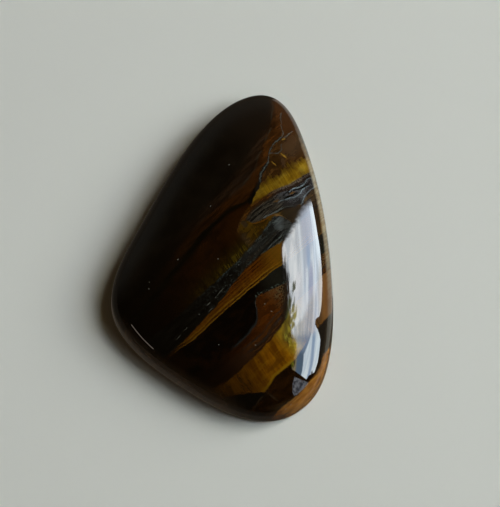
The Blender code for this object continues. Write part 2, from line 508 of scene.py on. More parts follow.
def layer_place(n):
    """Where a point lies among the layers, and the grain there, as sockets."""
    place = n.node("ShaderNodeTexCoord", {}).outputs["Object"]
    inputs = {0: place, "Scale": MILLIMETRES}
    here = n.node("ShaderNodeVectorMath", inputs, operation="SCALE").outputs[0]
    stone_x, stone_y, z = n.split(here)
    x = n.sub(stone_x, LAYERS_FROM[0])
    y = n.sub(stone_y, LAYERS_FROM[1])
    dipped = n.add(y, n.mul(z, LAYER_DIP))
    true_u = n.add(n.mul(x, math.cos(LAYER_ANGLE)), n.mul(dipped, math.sin(LAYER_ANGLE)))
    true_v = n.sub(n.mul(dipped, math.cos(LAYER_ANGLE)), n.mul(x, math.sin(LAYER_ANGLE)))

    def shake(scale, amount, detail, offset=0.0):
        wave = n.noise(n.vector(n.add(x, offset), y, z), scale, detail, 0.6)
        return n.mul(n.sub(wave, 0.5), amount)

    u = n.add(n.add(true_u, shake(1.1, 0.35, 2.0, 31.0)), shake(4.5, 0.18, 2.0, 47.0))
    v = n.add(n.add(true_v, shake(0.9, 0.3, 2.0)), shake(3.2, 0.24, 4.0, 17.0))
    slant = n.sub(true_u, n.mul(true_v, 0.2))

    def grain(along, across, third, detail, roughness, wobble=0.0, lengthwise=true_u):
        """Noise with its own scales along and across the layers."""
        where = n.vector(n.mul(lengthwise, along), n.mul(true_v, across), third)
        return n.noise(where, 1.0, detail, roughness, wobble)

    return SimpleNamespace(
        u=u,
        v=v,
        jagged_v=n.add(v, shake(7.0, 0.26, 2.0, 5.0)),
        x=x,
        y=y,
        z=z,
        here=here,
        streaks=grain(0.22, 2.6, n.mul(z, 0.5), 4.0, 0.6, 0.4),
        threads=grain(0.4, 8.0, z, 3.0, 0.6, 0.6),
        beads=grain(2.0, 3.5, z, 2.0, 0.6),
        fibres=grain(5.0, 0.5, n.mul(z, 1.2), 4.0, 0.65, lengthwise=slant),
        curtains=grain(0.9, 0.15, n.mul(z, 0.2), 2.0, 0.5, lengthwise=slant),
        clouds=n.noise(here, 0.42, 3.0, 0.55),
        mottle=grain(0.55, 1.3, z, 4.0, 0.5, 0.4),
        lines=grain(0.25, 5.5, 3.0, 3.0, 0.5, 0.2),
        weave=grain(4.5, 5.5, 7.0, 2.0, 0.5),
        grit=n.noise(here, 6.5, 2.0, 0.6),
    )


# Each layer's look: its colour and how much it shines like metal or silk, at the place p --------
def crown_look(n, p):
    crown = n.fade(p.clouds, 0.35, 0.7, (0.0024, 0.0013, 0.0005), (0.0054, 0.0032, 0.0015))
    return n.tint(crown, (0.009, 0.005, 0.0026), n.step(p.u, 9.0, 15.0), 0.7), 0.0


def smoke_look(n, p):
    """Dark brown with fine purple-grey streaks, with painted shade fading them to black down the
    left.
    """
    grey = n.fade(p.streaks, 0.38, 0.64, (0.006, 0.0021, 0.0006), (0.019, 0.0084, 0.0035))
    wisps = n.mul(n.step(p.threads, 0.54, 0.68), n.step(p.mottle, 0.44, 0.6))
    grey = n.tint(grey, (0.023, 0.015, 0.0105), wisps, 0.5)
    grey = n.tint(grey, (0.009, 0.0042, 0.0018), n.step(p.u, 14.5, 16.5), 0.8)
    return n.fade(p.u, 8.0, -6.0, grey, (0.0022, 0.0011, 0.0004)), 0.0


def red_look(n, p):
    """Red-brown streaks, brightest beside the vein."""
    red = n.fade(p.streaks, 0.34, 0.64, (0.009, 0.0026, 0.0004), (0.032, 0.0096, 0.0014))
    red = n.tint(red, (0.04, 0.016, 0.0048), n.step(p.threads, 0.52, 0.68), 0.3)
    near = n.sub(p.v, n.line(p.u, HONEY_TOP))
    hot = n.mul(
        n.between(near, 0.15, 0.75, 0.4), n.step(p.u, 10.5, 13.0), n.step(p.streaks, 0.2, 0.6)
    )
    red = n.tint(red, (0.052, 0.015, 0.0022), hot, 0.7)
    # painted shade: darker, then near black, towards the left
    lower = n.fade(p.streaks, 0.36, 0.62, (0.006, 0.0016, 0.0002), (0.0215, 0.0058, 0.0006))
    red = n.fade(p.u, 11.5, 6.0, red, lower)
    return n.fade(p.u, 5.0, -9.0, red, (0.003, 0.0013, 0.0003)), 0.0


def shade_look(n, p):
    return n.fade(p.streaks, 0.38, 0.64, (0.001, 0.0005, 0.0001), (0.0026, 0.0015, 0.0004)), 0.0


def earth_look(n, p):
    """Brown, softly mottled along the layers, with an olive-gold foot beside the iron band."""
    above = n.sub(p.v, n.line(p.u, IRON_TOP))
    loam = n.fade(p.mottle, 0.34, 0.66, (0.0042, 0.0011, 0.0001), (0.0115, 0.0028, 0.0001))
    loam = n.tint(loam, (0.017, 0.0052, 0.0003), n.step(p.threads, 0.52, 0.68), 0.25)
    loam = n.tint(loam, (0.02, 0.0066, 0.0003), n.step(p.fibres, 0.5, 0.64), 0.3)
    loam = n.tint(loam, (0.0035, 0.0011, 0.0001), n.step(p.clouds, 0.48, 0.34), 0.5)
    foot = n.mul(n.step(above, 2.5, 0.2), n.step(p.u, -13.0, 0.0), n.step(p.clouds, 0.26, 0.5))
    moss = n.fade(p.fibres, 0.34, 0.66, (0.0074, 0.0034, 0.0002), (0.022, 0.0112, 0.0005))
    bright = n.mul(
        n.between(above, 0.15, 0.65, 0.45), n.step(p.fibres, 0.4, 0.58), n.step(p.u, -9.0, 1.0)
    )
    moss = n.mix(bright, moss, (0.043, 0.0255, 0.0014))
    earth = n.mix(foot, loam, moss)
    earth = n.tint(earth, (0.013, 0.0032, 0.0002), n.step(p.u, 2.0, 5.0), n.step(above, 1.6, 2.6))
    # painted shade: near black towards the left
    return n.fade(p.u, 1.0, -12.0, earth, (0.0024, 0.0007, 0.0001)), n.mul(foot, 0.15)


def honey_look(n, p):
    """Brown at its tip, silky gold beside the seam."""
    above = n.sub(p.v, n.line(p.u, SEAM_TOP))
    brown = n.fade(p.mottle, 0.34, 0.66, (0.02, 0.0068, 0.001), (0.042, 0.0155, 0.0034))
    brown = n.tint(brown, (0.056, 0.024, 0.0062), n.step(p.threads, 0.54, 0.68), 0.25)
    ruddy = n.mul(n.step(p.u, 15.5, 17.5), n.step(above, 4.5, 6.0))
    brown = n.tint(brown, (0.036, 0.011, 0.0026), ruddy, 0.8)
    ragged = n.sub(n.sub(above, n.mul(n.sub(p.clouds, 0.5), 3.0)), n.mul(n.sub(p.fibres, 0.5), 1.5))
    glow = n.mul(n.step(ragged, 2.5, 0.9), n.step(p.u, 6.0, 8.0))
    gold = n.fade(p.fibres, 0.34, 0.66, (0.115, 0.056, 0.0018), (0.185, 0.098, 0.0044))
    gold = n.tint(gold, (0.22, 0.132, 0.011), n.step(p.mottle, 0.5, 0.64), 0.6)
    gold = n.tint(gold, (0.058, 0.021, 0.0012), n.step(p.mottle, 0.46, 0.34), 0.55)
    gold = n.tint(gold, (0.064, 0.025, 0.0012), n.step(p.curtains, 0.56, 0.38), 0.45)
    return n.mix(glow, brown, gold), n.mul(glow, 0.25)


def seam_look(n, p):
    """A mauve upper stripe, then speckled steel grey, running out dark to the left."""
    depth = n.sub(n.line(p.u, SEAM_TOP), p.v)
    mauve = n.fade(p.grit, 0.38, 0.62, (0.026, 0.014, 0.008), (0.082, 0.058, 0.04))
    tail = n.fade(p.streaks, 0.4, 0.6, (0.021, 0.0058, 0.0004), (0.046, 0.016, 0.0024))
    mauve = n.fade(p.u, 11.6, 9.2, mauve, tail)
    steel = n.fade(p.grit, 0.34, 0.64, (0.021, 0.019, 0.0175), (0.048, 0.044, 0.042))
    steel = n.tint(steel, (0.007, 0.0056, 0.0044), n.step(p.mottle, 0.44, 0.34), 0.8)
    dark = n.fade(p.threads, 0.38, 0.64, (0.011, 0.008, 0.005), (0.038, 0.029, 0.019))
    steel = n.fade(p.u, 11.4, 9.4, steel, dark)
    inner = n.add(depth, n.mul(n.sub(p.mottle, 0.5), 0.9))
    mauve = n.tint(mauve, (0.012, 0.005, 0.002), n.between(inner, 0.45, 0.75, 0.12), 0.8)
    seam = n.fade(depth, 0.62, 0.85, mauve, steel)
    return seam, n.mul(n.step(depth, 0.62, 0.85), n.step(p.u, 9.4, 11.4), 0.25)


def ember_look(n, p):
    """The gold and orange field under the seam."""
    field = n.fade(p.mottle, 0.34, 0.66, (0.017, 0.007, 0.0005), (0.048, 0.021, 0.0012))
    field = n.tint(field, (0.062, 0.033, 0.0022), n.step(p.fibres, 0.54, 0.66), 0.35)
    warm = n.fade(p.streaks, 0.36, 0.62, (0.024, 0.014, 0.006), (0.076, 0.04, 0.014))
    field = n.fade(p.u, 8.6, 10.2, field, warm)
    loam = n.fade(p.mottle, 0.36, 0.66, (0.006, 0.002, 0.0002), (0.017, 0.006, 0.0005))
    return n.fade(p.u, 4.6, 2.8, field, loam), 0.12


def iron_look(n, p):
    """Greenish black, greyer at its right end, with faint blue-grey outlines."""
    depth = n.sub(n.line(p.u, IRON_TOP), p.v)
    above_foot = n.sub(p.v, n.line(p.u, RIBBON_TOP))
    iron = n.fade(p.streaks, 0.38, 0.64, (0.0012, 0.0007, 0.0003), (0.0038, 0.0028, 0.0016))
    right = n.fade(p.threads, 0.4, 0.62, (0.003, 0.0024, 0.0016), (0.02, 0.018, 0.0135))
    right = n.tint(right, (0.022, 0.011, 0.004), n.step(p.streaks, 0.56, 0.64), 0.6)
    iron = n.fade(p.u, -1.0, 5.5, iron, right)
    bits = n.mul(n.step(p.grit, 0.5, 0.62), n.step(p.beads, 0.44, 0.58), n.step(p.u, -9.0, -3.0))
    iron = n.tint(iron, (0.032, 0.032, 0.024), bits, 0.6)
    lens = n.mul(n.step(p.u, 7.0, 8.2), n.step(depth, 0.3, 0.7))
    grey = n.fade(p.streaks, 0.34, 0.62, (0.032, 0.032, 0.028), (0.076, 0.078, 0.068))
    iron = n.mix(lens, iron, grey)
    rim = n.mul(n.between(depth, 0.06, 0.2, 0.12), n.step(p.beads, 0.4, 0.6))
    foot = n.mul(n.between(above_foot, 0.03, 0.16, 0.1), n.step(p.beads, 0.36, 0.58))
    outline = n.mul(n.most([rim, foot]), n.step(p.u, -6.0, 1.5), n.step(p.grit, 0.36, 0.5))
    pale = n.fade(p.u, 0.0, 4.0, (0.018, 0.0215, 0.017), (0.029, 0.034, 0.027))
    return n.tint(iron, pale, outline, 0.85), 0.1


def ribbon_look(n, p):
    """The gold ribbon: fine lines along it, woven with fibres, brightest at its foot."""
    up = n.sub(p.v, n.line(p.u, NIGHT_TOP))
    low = n.fade(up, 0.3, 1.8, (0.046, 0.0108, 0.0002), (0.034, 0.0072, 0.0002))
    high = n.fade(up, 0.3, 1.8, (0.12, 0.04, 0.001), (0.08, 0.02, 0.0004))
    ribbon = n.mix(n.step(n.add(n.mul(p.lines, 0.65), n.mul(p.weave, 0.35)), 0.38, 0.62), low, high)
    ribbon = n.tint(ribbon, (0.026, 0.009, 0.0005), n.step(p.curtains, 0.5, 0.34), 0.35)
    bright = n.most([n.between(up, 0.02, 0.08, 0.07), n.between(up, 0.42, 0.46, 0.06)])
    bright = n.mul(bright, n.step(p.beads, 0.28, 0.52))
    ribbon = n.tint(ribbon, (0.18, 0.09, 0.007), bright, 0.65)
    ribbon = n.tint(ribbon, (0.019, 0.007, 0.0006), n.between(up, 0.2, 0.28, 0.08), 0.6)
    # painted light brightens the ribbon towards the right; painted shade darkens it, then turns it
    # near black, towards the left
    ribbon = n.tint(ribbon, (0.13, 0.06, 0.004), n.step(p.u, 2.5, 5.5), 0.4)
    ribbon = n.tint(ribbon, (0.062, 0.018, 0.0003), n.step(p.u, -2.0, -7.0), 0.3)
    return n.fade(p.u, -8.5, -14.0, ribbon, (0.0095, 0.003, 0.0002)), 0.25


def night_look(n, p):
    """Black, reddish at its left and greenish at its right end."""
    night = n.fade(p.mottle, 0.46, 0.66, (0.0008, 0.0002, 0.0001), (0.0034, 0.0009, 0.0001))
    ruddy = n.mul(n.step(p.u, -5.0, -9.0), n.step(p.clouds, 0.4, 0.6))
    night = n.mix(ruddy, night, (0.0055, 0.0014, 0.0002))
    night = n.fade(p.u, 0.0, 3.0, night, (0.007, 0.006, 0.0034))
    above = n.sub(p.v, n.line(p.u, RUST_TOP))
    outline = n.mul(n.between(above, 0.0, 0.14, 0.16), n.between(p.u, -6.0, -1.4, 1.2))
    night = n.tint(night, (0.012, 0.013, 0.011), outline, 0.75)
    glitter = n.mul(n.step(p.grit, 0.5, 0.62), n.step(p.beads, 0.44, 0.58))
    glitter = n.mul(glitter, n.between(above, -0.1, 0.28, 0.2), n.between(p.u, -0.8, 4.5, 0.6))
    return n.tint(night, (0.07, 0.085, 0.062), glitter, 0.8), 0.0


def rust_look(n, p):
    """Orange-brown, redder down the left, and darker there with painted shade."""
    rust = n.fade(p.mottle, 0.34, 0.66, (0.025, 0.0055, 0.0004), (0.052, 0.012, 0.0008))
    rust = n.tint(rust, (0.064, 0.02, 0.002), n.step(p.threads, 0.52, 0.68), 0.35)
    redder = n.fade(p.streaks, 0.36, 0.62, (0.013, 0.003, 0.0002), (0.026, 0.0062, 0.0004))
    rust = n.fade(p.u, -1.0, -4.5, rust, redder)
    gritty = n.mul(n.step(p.u, 0.0, 2.5), n.step(p.grit, 0.44, 0.6))
    rust = n.tint(rust, (0.085, 0.064, 0.026), gritty, 0.6)
    return n.fade(p.u, -4.0, -10.5, rust, (0.0032, 0.001, 0.0002)), 0.0


def bark_look(n, p):
    """Dark plum with red-brown cores, between blurred blue-grey lines."""
    depth = n.sub(n.line(p.u, BARK_TOP), p.v)
    bark = n.fade(p.threads, 0.34, 0.64, (0.009, 0.0026, 0.0005), (0.024, 0.0085, 0.0028))
    right = n.step(p.u, -9.0, -3.0)
    core = n.mul(n.between(depth, 0.22, 0.5, 0.16), right)
    bark = n.tint(bark, (0.044, 0.0125, 0.0018), core, 0.75)
    lower = n.mul(n.between(depth, 0.95, 1.15, 0.14), right, n.step(p.threads, 0.4, 0.56))
    bark = n.tint(bark, (0.048, 0.017, 0.004), lower, 0.7)
    lines = n.most([n.between(depth, 0.0, 0.08, 0.1), n.between(depth, 0.74, 0.8, 0.1)])
    bark = n.tint(bark, (0.021, 0.0185, 0.014), lines, n.step(p.beads, 0.38, 0.56), right, 0.7)
    # painted shade: near black towards the left
    return n.fade(p.u, -4.0, -11.0, bark, (0.0048, 0.0014, 0.0003)), 0.0


def silk_look(n, p):
    """The broad silky gold field, crossed by fibres, with a bright edge at its lower right. Painted
    sheen on its right, painted shade down its left.
    """
    above = n.sub(p.v, n.line(p.u, UMBER_TOP))
    silk = n.fade(p.fibres, 0.3, 0.7, (0.07, 0.0205, 0.0003), (0.13, 0.042, 0.0008))
    silk = n.tint(silk, (0.165, 0.062, 0.0014), n.step(p.mottle, 0.46, 0.68), 0.5)
    silk = n.tint(silk, (0.042, 0.0115, 0.0002), n.step(p.curtains, 0.56, 0.4), 0.75)
    silk = n.tint(silk, (0.17, 0.078, 0.003), n.step(p.threads, 0.56, 0.68), 0.2)
    # painted sheen: brighter gold in patches on the right
    bright = n.mul(n.step(p.u, -3.0, 0.0), n.step(p.x, 10.4, 9.0), n.step(p.clouds, 0.3, 0.48))
    silk = n.tint(silk, (0.29, 0.18, 0.012), bright, 0.8)
    edge = n.mul(n.between(above, 0.04, 0.24, 0.2), n.between(p.u, -7.4, -3.2, 0.8))
    silk = n.tint(silk, (0.135, 0.064, 0.0024), edge, 0.8)
    # painted shade: darker, then near black, towards the left
    far = n.fade(p.fibres, 0.34, 0.66, (0.021, 0.0062, 0.0004), (0.044, 0.014, 0.0007))
    silk = n.tint(silk, far, n.step(p.u, -5.5, -9.0), 0.75)
    silk = n.tint(silk, (0.106, 0.043, 0.0115), n.step(p.u, 2.2, 4.2), 0.9)
    return n.fade(p.u, -9.0, -13.5, silk, (0.011, 0.0036, 0.0003)), 0.28


def umber_look(n, p):
    """Dark brown, black in its left corner and towards the right rim."""
    umber = n.fade(p.mottle, 0.36, 0.64, (0.0042, 0.0013, 0.0001), (0.0125, 0.0038, 0.0004))
    black = n.mul(n.step(p.u, -7.2, -8.2), n.step(p.v, -16.8, -16.2))
    umber = n.mix(black, umber, (0.0022, 0.0014, 0.0008))
    return n.fade(p.u, -1.5, 1.0, umber, (0.009, 0.006, 0.0036)), 0.0


def amber_look(n, p):
    """The honey-orange rim, partly its own colour and partly painted glow of the light it lets in,
    with painted shade turning it dull brown at its left end.
    """
    depth = n.sub(n.line(p.u, AMBER_TOP), p.v)
    amber = n.fade(p.mottle, 0.34, 0.66, (0.12, 0.034, 0.0018), (0.245, 0.086, 0.009))
    amber = n.tint(amber, (0.33, 0.145, 0.02), n.step(p.threads, 0.5, 0.66), 0.6)
    amber = n.tint(amber, (0.205, 0.078, 0.013), n.step(depth, 0.5, 2.0), 0.6)
    dull = n.fade(p.streaks, 0.38, 0.62, (0.03, 0.0088, 0.001), (0.1, 0.03, 0.0032))
    return n.fade(p.u, -6.0, -9.5, amber, dull), 0.06


# The layers after the crown: (upper edge, how soft it is, look)
LAYERS = [
    (SMOKE_TOP, 0.7, smoke_look),
    (RED_TOP, 0.3, red_look),
    (SHADE_TOP, 0.22, shade_look),
    (EARTH_TOP, 0.3, earth_look),
    (HONEY_TOP, 0.1, honey_look),
    (SEAM_TOP, 0.12, seam_look),
    (SEAM_FOOT, 0.08, ember_look),
    (IRON_TOP, 0.12, iron_look),
    (RIBBON_TOP, 0.09, ribbon_look),
    (NIGHT_TOP, 0.08, night_look),
    (RUST_TOP, 0.12, rust_look),
    (BARK_TOP, 0.16, bark_look),
    (SILK_TOP, 0.14, silk_look),
    (UMBER_TOP, 0.14, umber_look),
    (AMBER_TOP, 0.16, amber_look),
]
# The honey, seam and ember layers start only where their upper line does, at its first u
FIRST_RIGHT_LAYER, LAST_RIGHT_LAYER = 4, 6
RIGHT_LAYER_FADE = 1.5


def vein(n, p, points, half_width, first, last, broken):
    """1 on the line through points, from the first u to the last."""
    away = n.away(p.jagged_v, n.line(p.u, points))
    swell = n.math("MULTIPLY_ADD", n.sub(p.beads, 0.5), 5.0 * broken, 1.0 - 0.5 * broken)
    inside = n.step(n.sub(away, n.mul(half_width, swell)), 0.07, -0.04)
    return n.mul(inside, n.between(p.u, first, last, 0.15))


def stone_look(n, p):
    """Lays the layers over each other from the upper left to the lower right, then the patches,
    the veins, painted shade on the silk, the specks, and painted light and reflection in the rim."""
    colour, shine = crown_look(n, p)
    for number, (top, soft, look) in enumerate(LAYERS):
        inside = n.step(n.sub(p.v, n.line(p.u, top)), soft, -soft)
        if FIRST_RIGHT_LAYER <= number <= LAST_RIGHT_LAYER:
            inside = n.mul(inside, n.step(p.u, top[0][0], top[0][0] + RIGHT_LAYER_FADE))
        layer_colour, layer_shine = look(n, p)
        colour = n.mix(inside, colour, layer_colour)
        shine = n.blend(inside, shine, layer_shine)
    for patches, tint in PATCHES:
        spots = [
            n.mul(n.blob(p.u, p.v, (u, v), (length, width), turn), share)
            for u, v, length, width, turn, share in patches
        ]
        colour = n.mix(n.most(spots), colour, tint)
    for veins, tint in VEINS:
        colour = n.mix(n.most([vein(n, p, *shape) for shape in veins]), colour, tint)
    # the silk turns away from the light down the right side, short of the rim
    away = n.mul(n.between(p.x, 7.8, 11.8, 0.8), n.between(p.y, -12.0, 4.5, 2.0))
    colour = n.tint(colour, (0.009, 0.0064, 0.004), away, 0.75)
    specks = [n.blob(p.u, p.v, place, (SPECK_SIZE, SPECK_SIZE)) for place in SPECKS]
    colour = n.tint(colour, (0.16, 0.15, 0.12), n.most(specks), 0.7)
    # painted light: a glow in the thin edge down the right side, for light seeping in, below a dark
    # line
    right = n.step(p.x, 5.0, 9.0)
    line = n.mul(n.between(p.z, 3.9, 4.5, 0.25), right, n.between(p.y, 2.0, 9.0, 1.5))
    colour = n.tint(colour, (0.01, 0.006, 0.004), line, 0.6)
    glow = n.fade(p.streaks, 0.36, 0.62, (0.24, 0.155, 0.07), (0.36, 0.28, 0.16))
    painted_rim_light = n.mul(n.blend(n.step(p.y, -10.0, 6.0), 0.06, 0.64), n.step(p.y, 17.0, 8.0))
    colour = n.tint(colour, glow, n.step(p.z, 3.85, 3.45), n.step(p.z, 1.2, 2.3), right, painted_rim_light)
    # painted reflection: a warm brown band low at the lower left, where the rim mirrors the ground
    foot = n.mul(n.step(p.z, 4.2, 2.8), n.step(p.y, -7.0, -12.0), n.step(p.x, 4.0, -1.0))
    colour = n.tint(colour, (0.06, 0.032, 0.015), foot, 0.8)
    return colour, shine


def shaded_material(name):
    """A new material and its Principled shader."""
    material = bpy.data.materials.new(name)
    material.use_nodes = True
    return material, material.node_tree.nodes["Principled BSDF"]


SILK_ROUGHNESS = 0.42
SILK_ANISOTROPY = 0.7
GRAIN_STRENGTH = 0.3
GRAIN_HEIGHT = 0.0001
POLISH_IOR = 1.55
POLISH_ROUGHNESS = 0.02
POLISH_WAVE_HEIGHT = 0.0000016
POLISH_WAVES = 1.1  # in a millimetre
BACK_ROUGHNESS = 0.22


def stone_material():
    """The silky layers under a coat of polish."""
    material, shader = shaded_material("tigers_eye_polished")
    n = Nodes(material.node_tree)
    p = layer_place(n)
    colour, shine = stone_look(n, p)
    waves = n.noise(p.here, POLISH_WAVES, 2.0, 0.5)
    fill(shader, {
        "Base Color": colour,
        "Metallic": shine,
        "Roughness": SILK_ROUGHNESS,
        "Anisotropic": SILK_ANISOTROPY,
        "Tangent": n.vector(math.cos(LAYER_ANGLE), math.sin(LAYER_ANGLE), 0.0),
        "Normal": n.bump(p.fibres, GRAIN_STRENGTH, GRAIN_HEIGHT),
        "Specular IOR Level": 0.0,
        "Coat Weight": 1.0,
        "Coat Roughness": POLISH_ROUGHNESS,
        "Coat IOR": POLISH_IOR,
        "Coat Normal": n.bump(waves, 1.0, POLISH_WAVE_HEIGHT),
    })
    return material


def back_material(polished):
    """The flat back shows the same layers, but is only sawn and smoothed, not polished."""
    material = polished.copy()
    material.name = "tigers_eye_back"
    fill(material.node_tree.nodes["Principled BSDF"], {"Coat Roughness": BACK_ROUGHNESS})
    return material


# ---------------------------------------------------------------------------------------
# Stage, light and camera
# ---------------------------------------------------------------------------------------
FLOOR_SIZE = 3.0
FLOOR_COLOUR = (0.64, 0.585, 0.49)
FLOOR_ROUGHNESS = 0.85
FLOOR_SHEEN = 0.1


def floor_material():
    material, shader = shaded_material("pale_floor")
    fill(shader, {
        "Base Color": opaque(FLOOR_COLOUR),
        "Roughness": FLOOR_ROUGHNESS,
        "Specular IOR Level": FLOOR_SHEEN,
    })
    return material


def make_floor():
    bpy.ops.mesh.primitive_plane_add(size=FLOOR_SIZE, location=(0.0, 0.0, 0.0))
    floor = bpy.context.object
    floor.name = "floor"
    floor.data.materials.append(floor_material())


def glowing_material(name):
    """A new material that only glows, and its Emission node."""
    material, shader = shaded_material(name)
    tree = material.node_tree
    tree.nodes.remove(shader)
    glow = tree.nodes.new("ShaderNodeEmission")
    fill(tree.nodes["Material Output"], {"Surface": glow.outputs[0]})
    return material, glow


def make_card(name, faces, material, only_mirrored=False):
    """A flat card, each face a list of corners, which the camera doesn't see."""
    bm = bmesh.new()
    for corners in faces:
        bm.faces.new([bm.verts.new(corner) for corner in corners])
    bmesh.ops.triangulate(bm, faces=bm.faces)
    mesh = bpy.data.meshes.new(name)
    bm.to_mesh(mesh)
    bm.free()
    mesh.materials.append(material)
    card = bpy.data.objects.new(name, mesh)
    card.visible_camera = False
    if only_mirrored:
        card.visible_diffuse = False
        card.visible_shadow = False
        card.visible_transmission = False
    bpy.context.scene.collection.objects.link(card)


# The window's panes stand upright to the right of the stone, seen from it as (y, z) in metres
WINDOW_X = 0.5
UPPER_PANE = [
    (0.306, 0.175), (0.326, 0.225), (0.347, 0.37), (0.373, 0.509), (0.403, 0.65), (0.43, 0.75),
    (0.468, 0.88), (0.495, 1.0), (0.48, 1.2), (0.34, 1.42), (0.136, 1.42), (0.136, 0.341),
    (0.141, 0.339), (0.137, 0.254), (0.139, 0.227), (0.147, 0.205), (0.157, 0.184), (0.18, 0.15),
    (0.206, 0.14), (0.236, 0.142), (0.261, 0.164), (0.285, 0.17),
]
LOWER_PANE = [
    (0.136, 1.42), (0.05, 1.42), (-0.178, 1.15), (-0.188, 0.677), (-0.194, 0.385), (-0.147, 0.351),
    (-0.096, 0.192), (-0.064, 0.185), (-0.03, 0.166), (0.023, 0.172), (0.07, 0.174), (0.089, 0.219),
    (0.105, 0.265), (0.116, 0.319), (0.129, 0.343), (0.136, 0.341),
]
SIDE_PANE = [
    (-0.229, 0.577), (-0.248, 0.858), (-0.369, 0.83), (-0.472, 0.687), (-0.506, 0.458),
    (-0.388, 0.369), (-0.274, 0.289), (-0.205, 0.243),
]
WINDOW_RADIANCE = 12.8
DARK = (0.0, 0.0, 0.0)
# Lines seen in the window. The first is (z, y), the others are (y, z).
CURTAIN = [
    (0.2, 0.304), (0.37, 0.332), (0.51, 0.36), (0.65, 0.39), (0.75, 0.418), (0.9, 0.455),
    (1.0, 0.47), (1.17, 0.497),
]
BRIGHT_FOLD = [
    (0.19, 0.335), (0.245, 0.335), (0.277, 0.345), (0.292, 0.305), (0.302, 0.275), (0.312, 0.225),
]
TREE_TOPS = [
    (-0.18, 0.98), (-0.114, 0.93), (-0.037, 0.9), (0.044, 0.93), (0.133, 0.99), (0.194, 0.98),
    (0.249, 0.95), (0.272, 0.9), (0.316, 0.94), (0.355, 0.92), (0.379, 0.95), (0.416, 1.0),
    (0.464, 1.11), (0.5, 1.2),
]
CLOUD_EDGE = [
    (-0.149, 0.612), (-0.066, 0.639), (0.01, 0.61), (0.056, 0.504), (0.083, 0.382), (0.107, 0.3),
]
BLUE_STRIPE = [(-0.09, 0.36), (-0.019, 0.349), (0.033, 0.384), (0.076, 0.358)]
# Sunlit leaves: (y, z, half width, half height)
LEAVES = [
    (0.31, 0.815, 0.01, 0.05), (0.322, 0.84, 0.008, 0.045), (0.304, 0.97, 0.016, 0.09),
    (0.292, 1.1, 0.016, 0.11), (0.275, 0.875, 0.013, 0.065), (0.245, 0.85, 0.02, 0.085),
    (0.24, 0.95, 0.015, 0.07), (0.206, 0.925, 0.02, 0.075), (0.199, 1.12, 0.026, 0.11),
    (0.153, 1.3, 0.04, 0.12), (0.107, 1.12, 0.04, 0.11), (0.065, 0.92, 0.038, 0.075),
    (-0.125, 1.04, 0.04, 0.09),
]


